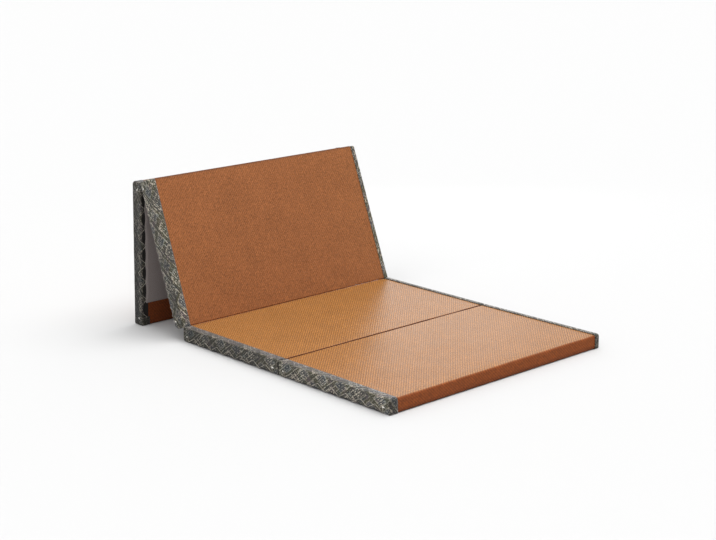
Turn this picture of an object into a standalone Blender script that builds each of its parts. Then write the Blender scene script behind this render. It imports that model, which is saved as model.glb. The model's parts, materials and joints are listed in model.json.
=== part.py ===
# Folding tatami mat: four padded panels in a zigzag, set up as a floor seat. The front and seat panels lie
# flat, the back panel leans on the prop panel, and the prop stands on its end. Each panel is a pad in woven
# mat cloth, with a brocade border folded over its left and right ends and a lining beneath. A thread laces
# the border's scalloped lower edge to the lining's.
#
# Panel frame: X across the mat, Y along it from the panel's start to its end, Z from the lining (0) up to
# the mat face. The panels follow one another along Y, so the prop's Y runs down and its mat face is behind.

import math
from collections import namedtuple

import bmesh
import bpy
from mathutils import Matrix, Vector

# Driving dimensions, in metres
PANEL_LENGTH = 0.500
PANEL_WIDTH = 0.900
PANEL_THICKNESS = 0.048
CROWN = 0.003
CLOTH = 0.0015
GAP = 0.0003

HINGE_ROUND = 0.005
SIDE_ROUND = 0.0042
BACK_LEAN = math.radians(19.5)
PROP_DROP = 0.004

BORDER_WIDTH = 0.030
SCALLOPS = 7
SCALLOP_STEPS = 6
LINING_INSET = 0.011
LINING_SCALLOP = 0.004
TURN_UNDER = 0.080
CUTTER_MARGIN = 0.010

HINGE_CLOTH = 0.0012
HINGE_LEG = 0.022
PROP_HINGE_LEG = 0.033

THREAD_RADIUS = 0.0009
THREAD_END = 0.030
THREAD_TOP = 0.44 * PANEL_THICKNESS
THREAD_REACH = 0.017
THREAD_TURN = 0.002
KNOT_RADIUS = 0.0021

# Distance along a knot as a share of its radius, and the thread's radius there
KNOT_SHAPE = ((0.5, KNOT_RADIUS), (1.5, KNOT_RADIUS), (2.2, THREAD_RADIUS))

ROUND_STEPS = 3
CROWN_CUTS_ACROSS = (-0.22, 0.0, 0.22)
CROWN_CUTS_ALONG = (0.1, 0.3, 0.5, 0.7, 0.9)
CUT_TOLERANCE = 1e-5

# What lies between a pad and the outside of its border
COVER = CLOTH + GAP
LACED_LENGTH = PANEL_LENGTH - 2 * THREAD_END
SCALLOP_PITCH = LACED_LENGTH / SCALLOPS
BETWEEN_BORDERS = PANEL_WIDTH / 2 - BORDER_WIDTH - GAP

# Height of the border's lower edge above the underside, at the stitches and in the scallops between them
Edge = namedtuple("Edge", "at_stitch in_scallop")
RAISED_EDGE = Edge(0.005, 0.014)
FLOOR_EDGE = Edge(0.0025, 0.006)

# One row for each panel: the roundings of its four long corners, at its start and its end, how far the mat
# cloth turns under at each end, whether its underside is clear of the floor, and its borders' lower edge
Panel = namedtuple("Panel", "name face_start under_start face_end under_end turn_start turn_end raised edge")
PANELS = (
    Panel("front", 0.009, 0.005, 0.006, HINGE_ROUND, TURN_UNDER, 0.0, False, FLOOR_EDGE),
    Panel("seat", 0.006, HINGE_ROUND, HINGE_ROUND, 0.007, 0.0, 0.0, False, FLOOR_EDGE),
    Panel("back", HINGE_ROUND, 0.018, 0.006, HINGE_ROUND, 0.0, 0.0, True, RAISED_EDGE),
    Panel("prop", 0.014, HINGE_ROUND, 0.006, 0.005, 0.0, TURN_UNDER, True, RAISED_EDGE),
)

X_AXIS = Vector((1.0, 0.0, 0.0))
Y_AXIS = Vector((0.0, 1.0, 0.0))
Z_AXIS = Vector((0.0, 0.0, 1.0))


def clear_scene():
    for thing in list(bpy.data.objects):
        bpy.data.objects.remove(thing, do_unlink=True)


def make_material(name, colour, roughness, metallic=0.0):
    material = bpy.data.materials.new(name)
    material.use_nodes = True
    shader = material.node_tree.nodes["Principled BSDF"]
    shader.inputs["Base Color"].default_value = (*colour, 1.0)
    shader.inputs["Roughness"].default_value = roughness
    shader.inputs["Metallic"].default_value = metallic
    return material


def mat_cloth_material():
    return make_material("mat_cloth", (0.36, 0.16, 0.06), 0.55)


def brocade_material():
    return make_material("border_brocade", (0.15, 0.17, 0.16), 0.6)


def lining_material():
    return make_material("lining_cloth", (0.16, 0.14, 0.15), 0.85)


def hinge_material():
    return make_material("hinge_cloth", (0.20, 0.18, 0.16), 0.85)


def thread_material():
    return make_material("lacing_thread", (0.60, 0.57, 0.52), 0.7)


def add_object(name, data, material, frame, collection):
    thing = bpy.data.objects.new(name, data)
    thing.data.materials.append(material)
    thing.parent = frame
    collection.objects.link(thing)
    return thing


def add_mesh(name, shape, material, frame, collection):
    bmesh.ops.recalc_face_normals(shape, faces=shape.faces)
    mesh = bpy.data.meshes.new(name)
    shape.to_mesh(mesh)
    shape.free()
    return add_object(name, mesh, material, frame, collection)


def add_frame(name, matrix, parent, collection):
    frame = bpy.data.objects.new(name, None)
    frame.parent = parent
    frame.matrix_basis = matrix
    collection.objects.link(frame)
    return frame


def thicken(thing, thickness, offset):
    solidify = thing.modifiers.new("cloth thickness", "SOLIDIFY")
    solidify.thickness = thickness
    solidify.offset = offset
    solidify.use_rim = True


def everything(shape):
    return shape.verts[:] + shape.edges[:] + shape.faces[:]


def cut_loop(shape, position, axis):
    bmesh.ops.bisect_plane(
        shape, geom=everything(shape), dist=CUT_TOLERANCE, plane_co=axis * position, plane_no=axis
    )


# The sharp edge across the panel at one of its four long corners
def corner_edge(shape, at_end, on_face):
    for edge in shape.edges:
        first, second = (vert.co for vert in edge.verts)
        middle = (first + second) / 2
        across = abs(second.x - first.x) > PANEL_WIDTH / 2
        if across and (middle.y > PANEL_LENGTH / 2) == at_end and (middle.z > PANEL_THICKNESS / 2) == on_face:
            return edge
    return None


def round_corner(shape, edge, radius):
    bmesh.ops.bevel(
        shape, geom=[edge], offset=radius, segments=ROUND_STEPS, profile=0.5, affect="EDGES"
    )


# Rounds the edges of both side faces by drawing each face in and out along an arc
def round_sides(shape, radius):
    for side in (-1, 1):
        face = max(shape.faces, key=lambda face: side * face.calc_center_median().x)
        for step in range(ROUND_STEPS):
            before = step * math.pi / 2 / ROUND_STEPS
            after = (step + 1) * math.pi / 2 / ROUND_STEPS
            bmesh.ops.inset_individual(
                shape, faces=[face], use_even_offset=True,
                thickness=radius * (math.cos(before) - math.cos(after)),
                depth=radius * (math.sin(after) - math.sin(before))
            )


# Rise of the mat face, highest at the middle of the panel and nothing at its edges
def crown_at(x, y):
    across = 2 * x / PANEL_WIDTH
    along = 2 * y / PANEL_LENGTH - 1
    return CROWN * (1 - across ** 2) * (1 - along ** 2)


# A panel's rounded and crowned block, drawn in by inset all round. The end that stands on the floor is
# slanted by settle, the tangent of the prop's lean, so that it lies flat there.
def panel_block(panel, inset, settle):
    shape = bmesh.new()
    bmesh.ops.create_cube(shape, size=1.0)
    size = Vector((PANEL_WIDTH - 2 * SIDE_ROUND, PANEL_LENGTH - 2 * inset, PANEL_THICKNESS - 2 * inset))
    bmesh.ops.scale(shape, vec=size, verts=shape.verts)
    middle = Vector((0, PANEL_LENGTH / 2, PANEL_THICKNESS / 2))
    bmesh.ops.translate(shape, vec=middle, verts=shape.verts)
    corners = (
        (False, True, panel.face_start),
        (False, False, panel.under_start),
        (True, True, panel.face_end),
        (True, False, panel.under_end),
    )
    for at_end, on_face, radius in corners:
        round_corner(shape, corner_edge(shape, at_end, on_face), radius - inset)
    round_sides(shape, SIDE_ROUND - inset)
    border_line = PANEL_WIDTH / 2 - BORDER_WIDTH
    for position in (-border_line, *CROWN_CUTS_ACROSS, border_line):
        cut_loop(shape, position, X_AXIS)
    for share in CROWN_CUTS_ALONG:
        cut_loop(shape, share * PANEL_LENGTH, Y_AXIS)
    for vert in shape.verts:
        if vert.co.z > PANEL_THICKNESS / 2:
            vert.co.z += crown_at(vert.co.x, vert.co.y)
        if vert.co.y > PANEL_LENGTH / 2:
            vert.co.y += settle * vert.co.z
    return shape


# Points along the panel at which the scalloped edges turn
def scallop_stations():
    count = SCALLOPS * SCALLOP_STEPS
    return [THREAD_END + step * LACED_LENGTH / count for step in range(count + 1)]


# The thread takes hold of the lining at whole numbers of stitches and of the border half way between them
def stitches_at(y):
    return (y - THREAD_END) / SCALLOP_PITCH


def border_edge(panel, y):
    rise = panel.edge.in_scallop - panel.edge.at_stitch
    return panel.edge.at_stitch + rise * abs(math.cos(math.pi * stitches_at(y)))


def lining_edge(y):
    return PANEL_WIDTH / 2 - LINING_INSET - LINING_SCALLOP * abs(math.sin(math.pi * stitches_at(y)))


# Block that takes away the border's lower corner and fold along the laced stretch, up to the scalloped edge
def add_cutter(panel, frame, material, collection):
    shape = bmesh.new()
    line = [shape.verts.new((0, y, border_edge(panel, y))) for y in scallop_stations()]
    edges = [shape.edges.new(pair) for pair in zip(line, line[1:])]
    made = bmesh.ops.extrude_edge_only(shape, edges=edges)
    for item in made["geom"]:
        if isinstance(item, bmesh.types.BMVert):
            item.co.z = -CUTTER_MARGIN
    half_width = PANEL_WIDTH / 2 + CUTTER_MARGIN
    bmesh.ops.translate(shape, vec=-half_width * X_AXIS, verts=shape.verts)
    made = bmesh.ops.extrude_face_region(shape, geom=shape.faces[:])
    far = [item for item in made["geom"] if isinstance(item, bmesh.types.BMVert)]
    bmesh.ops.translate(shape, vec=2 * half_width * X_AXIS, verts=far)
    cutter = add_mesh("cutter_" + panel.name, shape, material, frame, collection)
    cutter.hide_render = True
    cutter.display_type = "WIRE"
    return cutter


# Outer surface of the border on one side (-1 left, 1 right): a cap over that end of the panel
def border_surface(panel, side, settle):
    shape = panel_block(panel, 0.0, settle)
    bmesh.ops.bisect_plane(
        shape, geom=everything(shape), dist=CUT_TOLERANCE, plane_no=-side * X_AXIS,
        plane_co=side * (PANEL_WIDTH / 2 - BORDER_WIDTH) * X_AXIS, clear_outer=True
    )
    return shape


def add_pad(panel, settle, frame, material, collection):
    shape = panel_block(panel, COVER, settle)
    return add_mesh("panel_" + panel.name, shape, material, frame, collection)


def add_border(panel, side, side_name, settle, cutter, frame, material, collection):
    shape = border_surface(panel, side, settle)
    border = add_mesh(f"border_{panel.name}_{side_name}", shape, material, frame, collection)
    thicken(border, CLOTH, -1.0)
    cut = border.modifiers.new("laced edge", "BOOLEAN")
    cut.operation = "DIFFERENCE"
    cut.solver = "EXACT"
    cut.object = cutter
    return border


# Half of the lining's outline, as (half width, y): scalloped where it is laced, and near the panel's ends
# drawn in between the folds of the borders
def lining_half_outline(start, end):
    first = THREAD_END + GAP
    last = PANEL_LENGTH - THREAD_END - GAP
    stations = [min(max(y, first), last) for y in scallop_stations() if start < y < end]
    edge = [(lining_edge(y), y) for y in stations]
    if start < first:
        edge = [(BETWEEN_BORDERS, start), (BETWEEN_BORDERS, first), *edge]
    else:
        edge = [(lining_edge(start), start), *edge]
    if end > last:
        return [*edge, (BETWEEN_BORDERS, last), (BETWEEN_BORDERS, end)]
    return [*edge, (lining_edge(end), end)]


def add_lining(panel, frame, material, collection):
    start = max(panel.under_start, panel.turn_start)
    end = PANEL_LENGTH - max(panel.under_end, panel.turn_end)
    right = lining_half_outline(start, end)
    outline = right + [(-x, y) for x, y in reversed(right)]
    curve = bpy.data.curves.new("lining_" + panel.name, "CURVE")
    curve.dimensions = "2D"
    curve.fill_mode = "BOTH"
    curve.extrude = CLOTH / 2
    spline = curve.splines.new("POLY")
    spline.points.add(len(outline) - 1)
    for point, (x, y) in zip(spline.points, outline):
        point.co = (x, y, 0.0, 1.0)
    spline.use_cyclic_u = True
    lining = add_object(curve.name, curve, material, frame, collection)
    lining.location.z = CLOTH / 2
    return lining


# Centre of the thread after a run from its top turn straight down the side, round the lower corner and in
# under the panel
def thread_point(side, run, y, radius):
    off = radius + GAP
    down = THREAD_TOP - SIDE_ROUND
    bend = math.pi / 2 * SIDE_ROUND
    corner_x = PANEL_WIDTH / 2 - SIDE_ROUND
    if run <= down:
        return Vector((side * (PANEL_WIDTH / 2 + off), y, THREAD_TOP - run))
    if run >= down + bend:
        return Vector((side * (corner_x - (run - down - bend)), y, -off))
    angle = (run - down) / SIDE_ROUND
    x = corner_x + (SIDE_ROUND + off) * math.cos(angle)
    z = SIDE_ROUND - (SIDE_ROUND + off) * math.sin(angle)
    return Vector((side * x, y, z))


# Runs at which a stroke has points: its top, then on raised panels the lower corner and the underside. On
# the panels that lie on the floor it stops at the corner.
def stroke_runs(raised):
    down = THREAD_TOP - SIDE_ROUND
    if not raised:
        return [0.0, down]
    bend = math.pi / 2 * SIDE_ROUND
    bends = [down + bend * step / ROUND_STEPS for step in range(ROUND_STEPS + 1)]
    return [0.0, *bends, down + bend + THREAD_REACH - SIDE_ROUND]


# Points (position, radius) of the knot at one end of a lacing, in order outward (-1 or 1 along the panel)
def knot_points(side, y, outward):
    return [
        (thread_point(side, 0.0, y + outward * KNOT_RADIUS * share, radius), radius)
        for share, radius in KNOT_SHAPE
    ]


# Points (position, radius) of one side's lacing. From a knot it runs straight across the laced edges, then
# zigzags along them with a short flat turn at each bend, and ends straight across to a second knot.
def lacing_route(panel, side):
    runs = stroke_runs(panel.raised)
    half_turn = THREAD_TURN / 2
    first = THREAD_END - half_turn
    last = PANEL_LENGTH - THREAD_END + half_turn
    strokes = [(first, first)]
    for index in range(2 * SCALLOPS):
        start = THREAD_END + index * SCALLOP_PITCH / 2
        strokes.append((start + half_turn, start + SCALLOP_PITCH / 2 - half_turn))
    strokes.append((last, last))
    route = knot_points(side, first, -1)[::-1]
    for index, (start, end) in enumerate(strokes):
        ordered = runs if index % 2 == 0 else runs[::-1]
        for run in ordered:
            share = abs(run - ordered[0]) / runs[-1]
            position = thread_point(side, run, start + share * (end - start), THREAD_RADIUS)
            route.append((position, THREAD_RADIUS))
    return route + knot_points(side, last, 1)


def add_lacing(panel, side, side_name, frame, material, collection):
    route = lacing_route(panel, side)
    curve = bpy.data.curves.new(f"lacing_{panel.name}_{side_name}", "CURVE")
    curve.dimensions = "3D"
    curve.bevel_depth = THREAD_RADIUS
    curve.bevel_resolution = 0
    curve.use_fill_caps = True
    spline = curve.splines.new("POLY")
    spline.points.add(len(route) - 1)
    for point, (position, radius) in zip(spline.points, route):
        point.co = (*position, 1.0)
        point.radius = radius / THREAD_RADIUS
    return add_object(curve.name, curve, material, frame, collection)


# Frame turned about X that brings a point of the panel to a point in space
def placed(turn, local, target):
    rotation = Matrix.Rotation(turn, 4, "X")
    return Matrix.Translation(target - rotation @ local) @ rotation


# Frames of the four panels, and the prop's lean. At each raised hinge the rounded corners of the two
# panels meet with a gap between them, and the prop hangs a little lower than the back panel.
def panel_frames():
    roll = HINGE_ROUND
    apart = 2 * roll + GAP
    front = Matrix.Identity(4)
    seat = Matrix.Translation((0, PANEL_LENGTH + GAP, 0))
    back_turn = math.pi / 2 - BACK_LEAN
    rotation = Matrix.Rotation(back_turn, 4, "X")
    toward_back = (Y_AXIS + Z_AXIS + rotation @ Y_AXIS - rotation @ Z_AXIS).normalized()
    seat_roll = seat @ Vector((0, PANEL_LENGTH - roll, PANEL_THICKNESS - roll))
    back = placed(back_turn, Vector((0, roll, PANEL_THICKNESS - roll)), seat_roll + apart * toward_back)
    back_roll = back @ Vector((0, PANEL_LENGTH - roll, roll))
    prop_roll = back_roll + Vector((0, math.sqrt(apart ** 2 - PROP_DROP ** 2), -PROP_DROP))
    standing = PANEL_LENGTH - roll
    lean = math.acos(prop_roll.z / math.hypot(standing, roll)) + math.atan2(roll, standing)
    prop = placed(lean - math.pi / 2, Vector((0, roll, roll)), prop_roll)
    return (front, seat, back, prop), lean


# Middle lines of the hinge cloths, as points across the mat. Each cloth lies on the two end faces that meet.
def hinge_lines(frames):
    front, seat, back, prop = frames
    off = COVER - GAP - HINGE_CLOTH / 2
    end = PANEL_LENGTH - off
    floor = GAP + HINGE_CLOTH / 2
    face = PANEL_THICKNESS
    front_seat = [
        front @ Vector((0, end, HINGE_LEG)),
        front @ Vector((0, end, floor)),
        seat @ Vector((0, off, floor)),
        seat @ Vector((0, off, HINGE_LEG)),
    ]
    seat_back = bent_line(
        seat @ Vector((0, end, face - HINGE_LEG)), seat @ Vector((0, end, face)),
        back @ Vector((0, off, face - HINGE_LEG)), back @ Vector((0, off, face))
    )
    back_prop = bent_line(
        back @ Vector((0, end, HINGE_LEG)), back @ Vector((0, end, 0)),
        prop @ Vector((0, off, PROP_HINGE_LEG)), prop @ Vector((0, off, 0))
    )
    return (("front_seat", front_seat), ("seat_back", seat_back), ("back_prop", back_prop))


# The two legs of a hinge cloth, run on to the point where they cross
def bent_line(first_end, first_toward, second_end, second_toward):
    first = (first_toward - first_end).normalized()
    second = (second_toward - second_end).normalized()
    between = second_end - first_end
    reach = (between.y * second.z - between.z * second.y) / (first.y * second.z - first.z * second.y)
    return [first_end, first_end + reach * first, second_end]


def add_hinge(name, line, frame, material, collection):
    shape = bmesh.new()
    left = [shape.verts.new(point - BETWEEN_BORDERS * X_AXIS) for point in line]
    edges = [shape.edges.new(pair) for pair in zip(left, left[1:])]
    made = bmesh.ops.extrude_edge_only(shape, edges=edges)
    right = [item for item in made["geom"] if isinstance(item, bmesh.types.BMVert)]
    bmesh.ops.translate(shape, vec=2 * BETWEEN_BORDERS * X_AXIS, verts=right)
    hinge = add_mesh("hinge_" + name, shape, material, frame, collection)
    thicken(hinge, HINGE_CLOTH, 0.0)
    return hinge


# Moves the mat so that its footprint is centred on the origin. The borders reach furthest to the front
# and to the back.
def centre_footprint(root, borders):
    bpy.context.view_layer.update()
    depths = [(border.matrix_world @ vert.co).y for border in borders for vert in border.data.vertices]
    root.location.y = -(min(depths) + max(depths)) / 2


def add_collection(name):
    collection = bpy.data.collections.new(name)
    bpy.context.scene.collection.children.link(collection)
    return collection


def build_mat():
    collection = add_collection("folding_tatami_mat")
    cutters = add_collection("cutters")
    root = add_frame("mat_frame", Matrix.Identity(4), None, collection)
    mat_cloth = mat_cloth_material()
    brocade = brocade_material()
    lining = lining_material()
    thread = thread_material()
    frames, lean = panel_frames()
    borders = []
    for panel, matrix in zip(PANELS, frames):
        frame = add_frame(panel.name + "_frame", matrix, root, collection)
        settle = math.tan(lean) if panel.name == "prop" else 0.0
        add_pad(panel, settle, frame, mat_cloth, collection)
        add_lining(panel, frame, lining, collection)
        cutter = add_cutter(panel, frame, brocade, cutters)
        for side, side_name in ((-1, "left"), (1, "right")):
            borders.append(add_border(panel, side, side_name, settle, cutter, frame, brocade, collection))
            add_lacing(panel, side, side_name, frame, thread, collection)
    hinge_cloth = hinge_material()
    for name, line in hinge_lines(frames):
        add_hinge(name, line, root, hinge_cloth, collection)
    centre_footprint(root, borders)


clear_scene()
build_mat()
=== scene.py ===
# Folding tatami mat set up as a floor seat: four padded panels with brocade borders, dressed for a studio picture
import json
import math

import bmesh
import bpy
from mathutils import Matrix, Vector, noise

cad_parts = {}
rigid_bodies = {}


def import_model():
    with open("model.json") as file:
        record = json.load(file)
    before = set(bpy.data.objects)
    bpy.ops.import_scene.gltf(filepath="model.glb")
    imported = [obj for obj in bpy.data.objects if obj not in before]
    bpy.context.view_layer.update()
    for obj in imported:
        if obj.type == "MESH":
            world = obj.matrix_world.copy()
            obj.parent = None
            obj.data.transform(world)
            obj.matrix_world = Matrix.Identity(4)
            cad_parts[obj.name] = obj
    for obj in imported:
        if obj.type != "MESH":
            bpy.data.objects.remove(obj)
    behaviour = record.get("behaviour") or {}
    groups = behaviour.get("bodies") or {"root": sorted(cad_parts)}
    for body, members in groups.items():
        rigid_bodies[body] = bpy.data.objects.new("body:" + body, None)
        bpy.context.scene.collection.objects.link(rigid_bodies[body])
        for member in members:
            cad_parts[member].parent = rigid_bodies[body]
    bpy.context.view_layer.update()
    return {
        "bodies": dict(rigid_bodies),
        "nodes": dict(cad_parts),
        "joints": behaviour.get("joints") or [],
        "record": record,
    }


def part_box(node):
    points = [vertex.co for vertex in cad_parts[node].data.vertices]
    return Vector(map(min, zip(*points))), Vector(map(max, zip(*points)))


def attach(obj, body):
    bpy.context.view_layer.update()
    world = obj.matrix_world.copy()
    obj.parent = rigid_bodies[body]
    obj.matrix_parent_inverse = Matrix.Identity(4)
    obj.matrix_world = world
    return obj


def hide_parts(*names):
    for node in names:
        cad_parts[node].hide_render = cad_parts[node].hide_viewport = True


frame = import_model()

# sizes in metres that the pieces share, as in the part's solids
mat = {
    "length": 0.500, "width": 0.900, "thickness": 0.048, "crown": 0.003, "cloth": 0.0015, "gap": 0.0003,
    "hingeRound": 0.005, "sideRound": 0.0042, "arcSteps": 4, "backLean": 19.5, "propDrop": 0.004, "flare": 0.008,
    "stitches": 7, "rowsPerStitch": 12, "threadEnd": 0.030,
}
length, thick, gap, sideRound = (mat[key] for key in ("length", "thickness", "gap", "sideRound"))
cover = mat["cloth"] + gap
halfWidth = mat["width"] / 2
lacedFrom, lacedTo = mat["threadEnd"], length - mat["threadEnd"]
lacedLength = length - 2 * mat["threadEnd"]
stitchPitch = lacedLength / mat["stitches"]
stitchRows = mat["stitches"] * mat["rowsPerStitch"]
stitchLines = [lacedFrom + lacedLength * step / stitchRows for step in range(stitchRows + 1)]
onLine = 1e-5  # a point this near to a line of the grid is on it
steep = 0.7  # share of a face's normal that makes the face lie across that axis

# what a panel has unless it says otherwise: roundings of the long corners, cloth turned under at its two ends, how far
# each end lies in a crease, whose painted shade darkens it, and how much painted shade darkens the pad's underside and
# the threads
usual = {"underStart": 0.005, "faceEnd": 0.006, "underEnd": 0.005, "turns": (0.0, 0.0), "creases": (0.0, 0.0),
         "shade": 0.0}

# widths of the left and right strips, height of the stitches, and heights of the border's laced edge at a stitch and
# between two; where the height is below nothing, the edge is tucked under the panel
flat = {**usual, "raised": False, "strips": (0.030, 0.020), "stitchTop": 0.021, "atStitch": 0.0025, "inScallop": 0.006}
raised = {**usual, "raised": True, "strips": (0.030, 0.0175), "stitchTop": 0.016, "atStitch": -0.0065,
          "inScallop": 0.0003}

# painted light and shade on the border, lighter where it is below nothing: its side at the start and the end (sides),
# the left and the right strip on the mat face (onFace) and the fold at the start
panels = [
    {"name": "front", **flat, "faceStart": 0.009, "turns": (0.080, 0.0), "creases": (0.0, 1.0), "seed": 3.1,
     "sides": (-0.48, 0.08), "onFace": (0.15, 0.15), "fold": 0.70},
    {"name": "seat", **flat, "faceStart": 0.006, "faceEnd": 0.005, "underEnd": 0.007, "creases": (1.0, 0.0),
     "seed": 7.7, "shade": 0.30, "sides": (0.28, 0.80), "onFace": (0.34, 0.34), "fold": 0.30},
    {"name": "back", **raised, "faceStart": 0.005, "underStart": 0.018, "seed": 12.4,
     "sides": (0.42, -0.05), "onFace": (-0.50, -0.90), "fold": 0.30},
    {"name": "prop", **raised, "faceStart": 0.014, "turns": (0.0, 0.080), "seed": 18.9, "shade": 0.88,
     "sides": (0.68, 1.20), "onFace": (0.88, 0.88), "fold": 0.70},
]


# frame turned about X that brings a point of the panel to a point in space
def placed(turn, local, target):
    rotation = Matrix.Rotation(turn, 4, "X")
    return Matrix.Translation(target - rotation @ local) @ rotation


def panelFrames():
    roll = mat["hingeRound"]
    apart = 2 * roll + gap
    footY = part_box("border_front_left")[0].y
    front = Matrix.Translation((0, footY, 0))
    seat = Matrix.Translation((0, footY + length + gap, 0))
    backTurn = math.pi / 2 - math.radians(mat["backLean"])
    rotation = Matrix.Rotation(backTurn, 4, "X")
    yAxis, zAxis = Vector((0, 1, 0)), Vector((0, 0, 1))
    towardBack = (yAxis + zAxis + rotation @ yAxis - rotation @ zAxis).normalized()
    seatRoll = seat @ Vector((0, length - roll, thick - roll))
    back = placed(backTurn, Vector((0, roll, thick - roll)), seatRoll + apart * towardBack)
    backRoll = back @ Vector((0, length - roll, roll))
    propRoll = backRoll + Vector((0, math.sqrt(apart ** 2 - mat["propDrop"] ** 2), -mat["propDrop"]))
    standing = length - roll
    lean = math.acos(propRoll.z / math.hypot(standing, roll)) + math.atan2(roll, standing)
    prop = placed(lean - math.pi / 2, Vector((0, roll, roll)), propRoll)
    return {"front": front, "seat": seat, "back": back, "prop": prop}, lean


frames, propLean = panelFrames()


def smoothStep(low, high, value):
    share = min(max((value - low) / (high - low), 0.0), 1.0)
    return share * share * (3 - 2 * share)


# where the strip of brocade meets the reed on one side
def stripLine(panel, side):
    return halfWidth - panel["strips"][side > 0]


# brings a piece from its panel's frame to its place; the right side flares toward the crease of seat and back
def settle(shape, panel):
    for vert in shape.verts:
        share = {"seat": vert.co.y / length, "back": 1 - vert.co.y / length}.get(panel["name"], 0.0)
        vert.co.x += mat["flare"] * share * max(0.0, vert.co.x / halfWidth)
    bmesh.ops.transform(shape, matrix=frames[panel["name"]], verts=shape.verts)


def waver(scale, x, y, seed):
    return noise.noise(Vector((scale * x, scale * y, seed)))


def turnOutward(shape):
    bmesh.ops.recalc_face_normals(shape, faces=shape.faces)


def newObject(name, data):
    made = bpy.data.objects.new(name, data)
    bpy.context.scene.collection.objects.link(made)
    return made


def finishPiece(name, shape, *materials):
    mesh = bpy.data.meshes.new(name)
    shape.to_mesh(mesh)
    shape.free()
    piece = newObject(name, mesh)
    for material in materials:
        mesh.materials.append(material)
    for face in mesh.polygons:
        face.use_smooth = True
    return piece


def wallThickness(piece, thickness, offset):
    wall = piece.modifiers.new("cloth thickness", "SOLIDIFY")
    wall.thickness, wall.offset = thickness, offset


# makes a piece ride on the root and hides the solid it stands for
def dressSolid(piece, node):
    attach(piece, "root")
    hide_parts(node)


def spacedLines(values, least=0.0005):
    kept = []
    for value in sorted(values):
        if not kept or value - kept[-1] > least:
            kept.append(value)
    return kept


# places within a rounding where the grid is cut, so that its arc comes out even
def arcLines(radius, steps=mat["arcSteps"]):
    return [radius * (1 - math.tan(math.pi / 4 * step / steps)) for step in range(steps)]


# lines along the length and up the thickness that the four long roundings of a panel need
def cornerLines(panel, inset):
    yLines, zLines = [], []
    for corner in ("faceStart", "underStart", "faceEnd", "underEnd"):
        for d in arcLines(panel[corner] - inset):
            yLines.append(inset + d if "Start" in corner else length - inset - d)
            zLines.append(thick - inset - d if "face" in corner else inset + d)
    return yLines, zLines


def cutAcross(shape, axis, line):
    normal = Vector((axis == 0, axis == 1, axis == 2))
    everything = shape.verts[:] + shape.edges[:] + shape.faces[:]
    bmesh.ops.bisect_plane(shape, geom=everything, dist=1e-6, plane_co=normal * line, plane_no=normal)


# a box cut into a grid by planes at the given lines
def gridBox(*grid):
    shape = bmesh.new()
    bmesh.ops.create_cube(shape, size=1.0)
    low, high = (Vector([lines[end] for lines in grid]) for end in (0, -1))
    bmesh.ops.scale(shape, vec=high - low, verts=shape.verts)
    bmesh.ops.translate(shape, vec=(low + high) / 2, verts=shape.verts)
    for axis, lines in enumerate(grid):
        for line in lines[1:-1]:
            cutAcross(shape, axis, line)
    return shape


def splitEdges(shape, axis, low, high, cuts, wanted):
    chosen = []
    for edge in shape.edges:
        first, second = edge.verts[0].co, edge.verts[1].co
        near, far = sorted((first[axis], second[axis]))
        if abs(near - low) < onLine and abs(far - high) < onLine and wanted((first + second) / 2):
            chosen.append(edge)
    bmesh.ops.subdivide_edges(shape, edges=chosen, cuts=cuts, use_grid_fill=False)


# moves a point of the panel's box, drawn in by inset, on to the panel's rounded form
def roundedPoint(co, panel, inset):
    x, y, z = co
    atEnd, onFace = y > length / 2, z > thick / 2
    radius = panel[("face" if onFace else "under") + ("End" if atEnd else "Start")] - inset
    outY = (y - (length - inset - radius)) / radius if atEnd else (inset + radius - y) / radius
    outZ = (z - (thick - inset - radius)) / radius if onFace else (inset + radius - z) / radius
    signY, signZ = (1 if atEnd else -1), (1 if onFace else -1)
    if outY > 0 and outZ > 0:
        most, far = max(outY, outZ), math.hypot(outY, outZ)
        y += signY * radius * outY * (most / far - 1)
        z += signZ * radius * outZ * (most / far - 1)
        depth, normalY, normalZ = radius * (1 - most), signY * outY / far, signZ * outZ / far
    else:
        toEnd = length - inset - y if atEnd else y - inset
        toFace = thick - inset - z if onFace else z - inset
        depth = min(toEnd, toFace)
        normalY, normalZ = (signY, 0) if toEnd < toFace else (0, signZ)
    sideRadius = sideRound - inset
    toSide = halfWidth - inset - abs(x)
    outDepth, outSide = 1 - depth / sideRadius, 1 - toSide / sideRadius
    if outDepth > 0 and outSide > 0:
        most, far = max(outDepth, outSide), math.hypot(outDepth, outSide)
        pull = sideRadius * outDepth * (1 - most / far)
        y -= normalY * pull
        z -= normalZ * pull
        x -= math.copysign(sideRadius * outSide * (1 - most / far), x)
    return Vector((x, y, z))


# crown of the mat face, and the slant of the end that stands on the floor
def crowned(co, panel):
    across, along = co.x / halfWidth, 2 * co.y / length - 1
    if co.z > thick / 2:
        co.z += mat["crown"] * max(0.0, 1 - across ** 2) * max(0.0, 1 - along ** 2)
    if panel["name"] == "prop" and along > 0:
        co.y += math.tan(propLean) * co.z
    return co


# depths below the face between which an end's painted shade comes in, and where in a rounding a crease's painted shade
# is darkest
endValues = {"tint": (0.001, 0.009), "darkest": 0.2}


# shares of the painted shade that darkens an end and the cloth below its face, and of the painted shade that lies in a
# crease
def endShares(co, panel, inset):
    below = thick - inset - co.z
    atEnd = co.y > length / 2
    radius = panel["faceEnd" if atEnd else "faceStart"] - inset
    toEnd = length - inset - co.y if atEnd else co.y - inset
    atBrow = smoothStep(radius, 0.0, toEnd)
    inCrease = panel["creases"][atEnd] * smoothStep(radius, endValues["darkest"] * radius, toEnd)
    return max(atBrow, smoothStep(*endValues["tint"], below)), inCrease


# distance round the panel's section; a turn of -1 makes a twill's diagonals meet in a chevron at the ends
def runRound(co, normal, turn=1):
    down = turn * max(0.0, thick - co.z)
    if normal.z < -steep:
        return turn * (-thick - co.y) if co.y < length / 2 else length + turn * (thick + length - co.y)
    return co.y - down if co.y < length / 2 else co.y + down


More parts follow.
